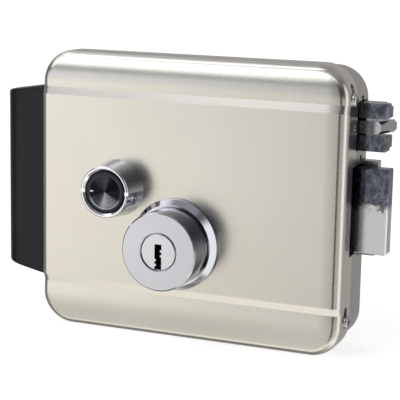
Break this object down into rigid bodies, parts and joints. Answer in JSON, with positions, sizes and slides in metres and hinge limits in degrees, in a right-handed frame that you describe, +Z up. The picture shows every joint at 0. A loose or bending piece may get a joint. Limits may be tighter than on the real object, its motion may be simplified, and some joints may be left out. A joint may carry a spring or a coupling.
{
  "type": "electric rim lock",
  "caption": "Surface-mounted electric door lock: steel case and cover, side bolt and latch, exit button, key cylinder and black side cap.",
  "frame": {"origin": "middle of the case's back face, which lies on the door; X and Z are measured from the middle of the cover", "axes": "+X towards the bolts, +Z up, -Y out of the door face towards the user"},
  "size_m": [0.157, 0.0424, 0.105],
  "materials": {
    "cover_steel": "brushed along its width",
    "case_steel": "satin sheet",
    "black_plastic": "satin gloss, moulded",
    "screw_steel": "zinc plated",
    "nickel": "nickel plated, slightly orange-peeled",
    "slide_steel": "ground",
    "zinc_plate": "bright zinc plate",
    "spring_steel": "drawn wire",
    "chrome": "polished",
    "satin_chrome": "satin face",
    "dark_chrome": "ring turned",
    "white_paint": "filled mark",
    "grub_steel": "bright",
    "cam_brass": "as turned",
    "coil_copper": "enamelled wire",
    "bobbin_nylon": "natural",
    "soft_iron": "turned",
    "terminal_plastic": "moulded"
  },
  "bodies": {
    "case": {"rear_case": "case_steel", "front_cover": "cover_steel", "cover_screws": "screw_steel", "cap_screws": "screw_steel", "side_cap": "black_plastic", "slide_studs": "screw_steel", "bolt_spring_bracket": "zinc_plate", "bolt_spring": "spring_steel", "latch_bracket": "zinc_plate", "latch_spring": "spring_steel", "trigger_spring": "spring_steel", "guide_plate": "zinc_plate", "solenoid_frame": "zinc_plate", "coil_bobbin": "bobbin_nylon", "coil_winding": "coil_copper", "coil_core": "soft_iron", "plunger_spring": "spring_steel", "sear_pivot": "screw_steel", "terminal_block": "terminal_plastic", "terminal_clamps": "cam_brass", "terminal_screws": "screw_steel", "cylinder_flange": "chrome", "cylinder_body": "chrome", "cylinder_nut": "zinc_plate", "button_bezel": "chrome", "bezel_nut": "zinc_plate", "bezel_grub_screw": "grub_steel", "button_spring": "spring_steel", "follower_keeper": "zinc_plate", "inner_screws": "screw_steel"},
    "bolt": {"main_bolt": "nickel", "bolt_carriage": "slide_steel", "bolt_rivets": "screw_steel", "bolt_rod": "slide_steel"},
    "latch": {"latch_fork": "nickel", "latch_rod": "slide_steel"},
    "trigger": {"trigger_tongue": "nickel"},
    "button": {"button_cap": "dark_chrome", "index_mark": "white_paint", "button_clip": "screw_steel"},
    "plug": {"key_plug": "satin_chrome", "plug_cam": "cam_brass", "cam_screw": "screw_steel"},
    "follower": {"tail_follower": "cam_brass"},
    "plunger": {"plunger": "soft_iron", "link_pin": "screw_steel"},
    "sear": {"sear_lever": "slide_steel"}
  },
  "joints": [
    {"name": "bolt_slide", "type": "slide", "parent": "case", "child": "bolt", "axis": [-1, 0, 0], "range_m": [0, 0.0118], "stiffness_N_per_m": 300, "springref_m": -0.01, "deforming": ["bolt_spring"]},
    {"name": "latch_slide", "type": "slide", "parent": "case", "child": "latch", "axis": [-1, 0, 0], "range_m": [0, 0.0103], "stiffness_N_per_m": 250, "springref_m": -0.008, "deforming": ["latch_spring"]},
    {"name": "trigger_slide", "type": "slide", "parent": "case", "child": "trigger", "axis": [-1, 0, 0], "range_m": [0, 0.0112], "stiffness_N_per_m": 120, "springref_m": -0.006, "deforming": ["trigger_spring"]},
    {"name": "button_press", "type": "slide", "parent": "case", "child": "button", "axis": [0, 1, 0], "range_m": [0, 0.004], "stiffness_N_per_m": 400, "springref_m": -0.004, "deforming": ["button_spring"]},
    {"name": "plunger_slide", "type": "slide", "parent": "case", "child": "plunger", "axis": [-1, 0, 0], "range_m": [0, 0.004], "stiffness_N_per_m": 150, "springref_m": -0.004, "deforming": ["plunger_spring"]},
    {"name": "key_turn", "type": "hinge", "parent": "case", "child": "plug", "pos_m": [-0.0036, 0, -0.0161], "axis": [0, -1, 0], "range_deg": [-90, 90]},
    {"name": "follower_turn", "type": "hinge", "parent": "case", "child": "follower", "pos_m": [-0.0036, 0, -0.0161], "axis": [0, -1, 0], "range_deg": [-90, 90]},
    {"name": "sear_turn", "type": "hinge", "parent": "case", "child": "sear", "pos_m": [-0.018, 0, 0.014], "axis": [0, -1, 0], "range_deg": [0, 13.5]}
  ],
  "couplings": [
    {"joint": "sear_turn", "follows": "plunger_slide", "rad_per_m": 58}
  ]
}
